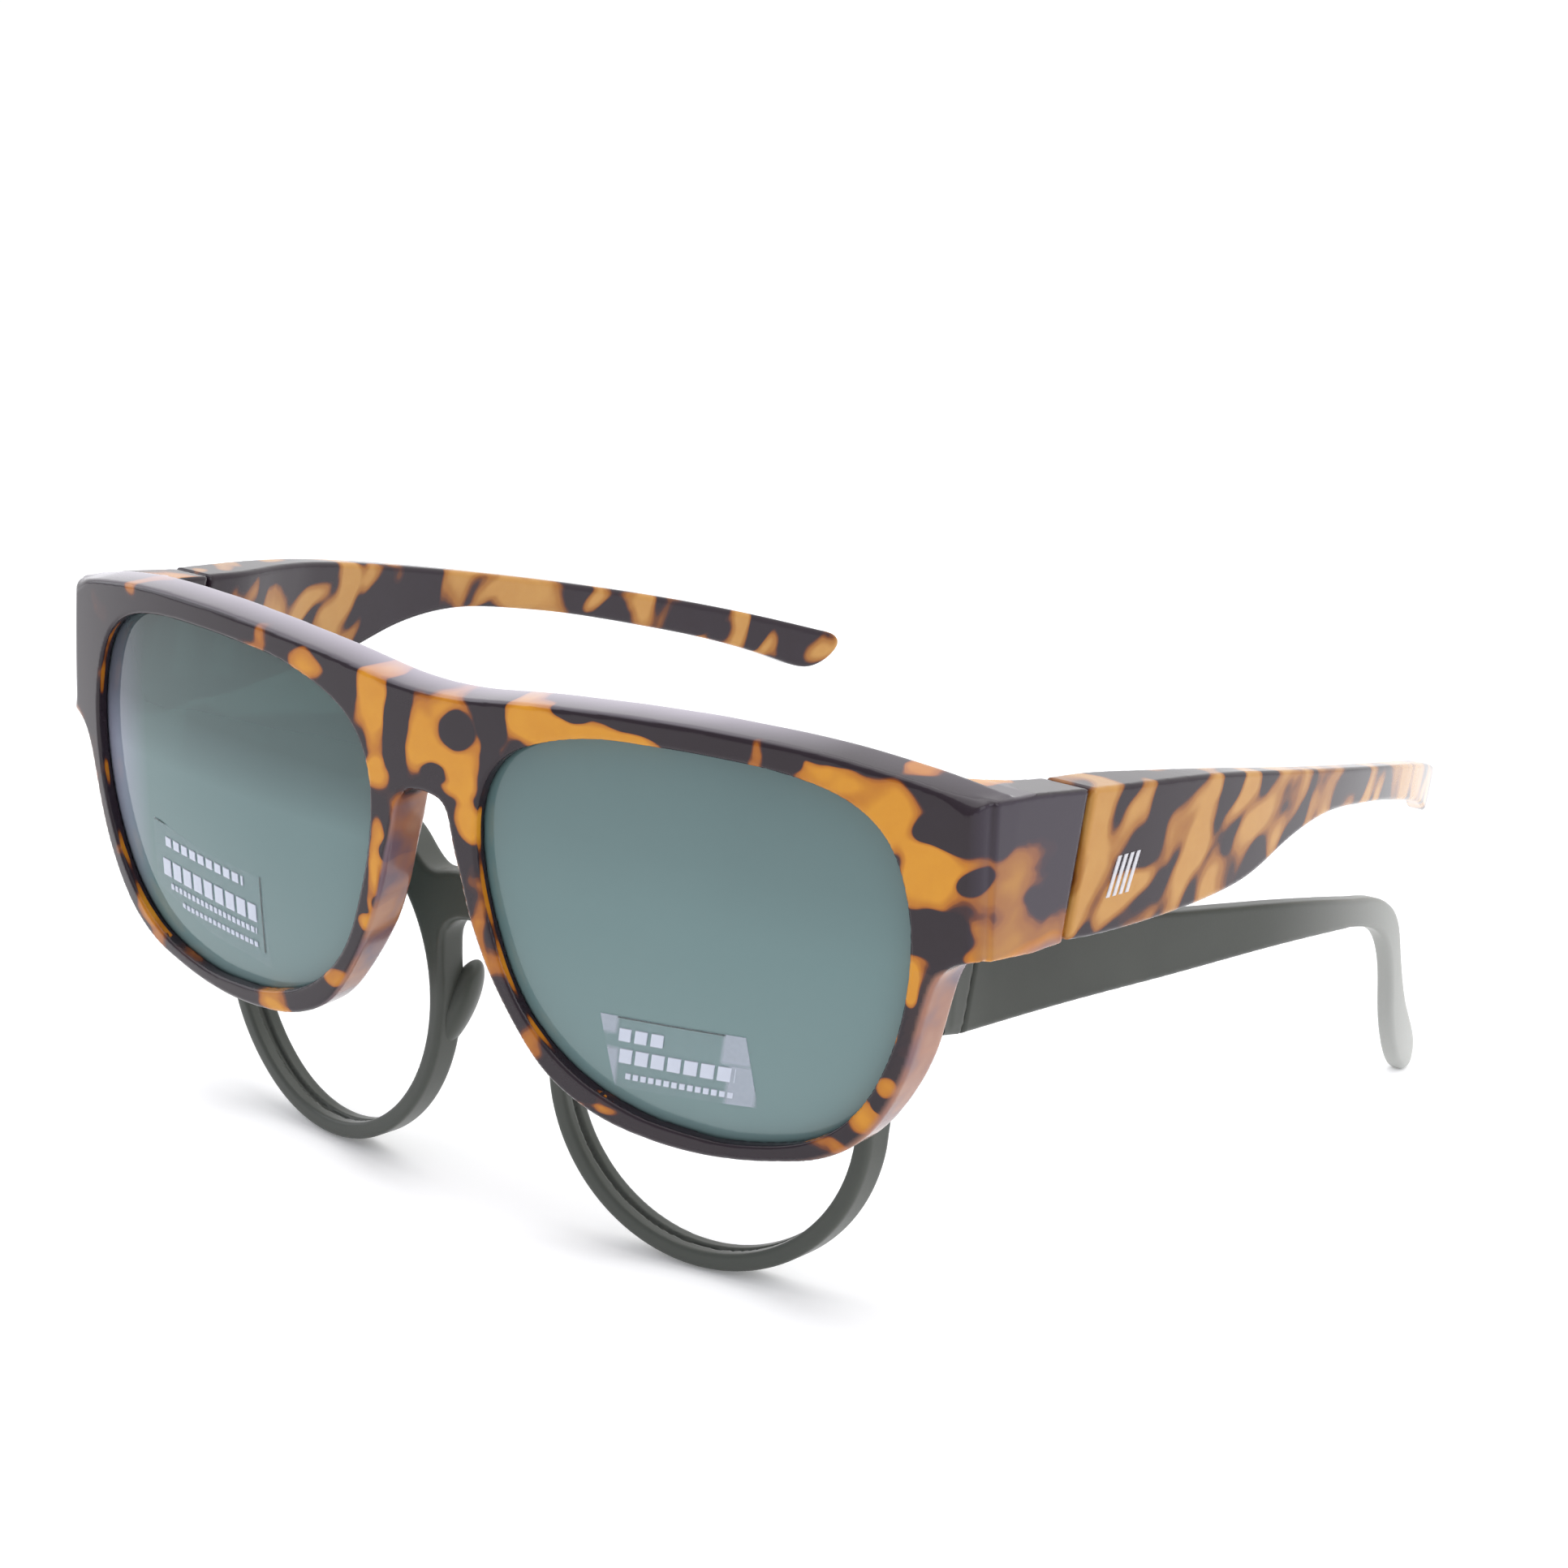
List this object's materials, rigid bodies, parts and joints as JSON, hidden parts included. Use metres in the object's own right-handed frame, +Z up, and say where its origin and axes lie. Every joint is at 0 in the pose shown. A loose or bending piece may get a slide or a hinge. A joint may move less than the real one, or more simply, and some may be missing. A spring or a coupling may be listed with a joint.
{
  "type": "over-glasses sunglass cover on a spectacle frame",
  "caption": "Tortoiseshell fit-over sunglass frame with grey-green lenses and folding temples, raised above a round spectacle frame with empty rims and folding temples.",
  "frame": {"origin": "centre of the bottom of the bounding box, on the surface the host's rims and temple ends rest on", "axes": "+X to the wearer's left, +Y from the fronts back towards the ears, +Z up"},
  "size_m": [0.1574, 0.1577, 0.0747],
  "materials": {
    "tortoise_acetate": "polished tortoiseshell, amber patches in dark brown-violet",
    "cover_lens": "grey-green tinted, polished",
    "label_film": "clear film with frosted print patches",
    "hinge_steel": "satin",
    "screw_steel": "turned",
    "temple_print": "pad-printed slanted mark",
    "host_acetate": "satin olive-grey"
  },
  "bodies": {
    "host": {"host_front": "host_acetate", "host_nose_pad_left": "host_acetate", "host_nose_pad_right": "host_acetate", "host_front_hinge_left": "hinge_steel", "host_front_hinge_right": "hinge_steel", "host_hinge_screw_left": "screw_steel", "host_hinge_screw_right": "screw_steel"},
    "host_left_temple": {"host_temple_left": "host_acetate", "host_temple_hinge_left": "hinge_steel"},
    "host_right_temple": {"host_temple_right": "host_acetate", "host_temple_hinge_right": "hinge_steel"},
    "cover": {"cover_front": "tortoise_acetate", "cover_lens_left": "cover_lens", "cover_lens_right": "cover_lens", "cover_lens_label_left": "label_film", "cover_lens_label_right": "label_film", "cover_front_hinge_left": "hinge_steel", "cover_front_hinge_right": "hinge_steel", "cover_hinge_screw_left": "screw_steel", "cover_hinge_screw_right": "screw_steel"},
    "cover_left_temple": {"cover_temple_left": "tortoise_acetate", "cover_temple_hinge_left": "hinge_steel", "cover_temple_mark": "temple_print"},
    "cover_right_temple": {"cover_temple_right": "tortoise_acetate", "cover_temple_hinge_right": "hinge_steel"}
  },
  "joints": [
    {"name": "cover_lift", "type": "slide", "parent": "host", "child": "cover", "axis": [0, -0.0036, 1], "range_m": [0, 0.055]},
    {"name": "cover_left_fold", "type": "hinge", "parent": "cover", "child": "cover_left_temple", "pos_m": [0.0676, -0.04954, 0.05901], "axis": [0, 0.2528, 0.9675], "range_deg": [0, 85]},
    {"name": "cover_right_fold", "type": "hinge", "parent": "cover", "child": "cover_right_temple", "pos_m": [-0.0676, -0.04954, 0.05901], "axis": [0, -0.2528, -0.9675], "range_deg": [0, 78]},
    {"name": "host_left_fold", "type": "hinge", "parent": "host", "child": "host_left_temple", "pos_m": [0.0585, -0.05233, 0.0432], "axis": [0, 0.2528, 0.9675], "range_deg": [0, 94]},
    {"name": "host_right_fold", "type": "hinge", "parent": "host", "child": "host_right_temple", "pos_m": [-0.0585, -0.05233, 0.0432], "axis": [0, -0.2528, -0.9675], "range_deg": [0, 76]}
  ]
}
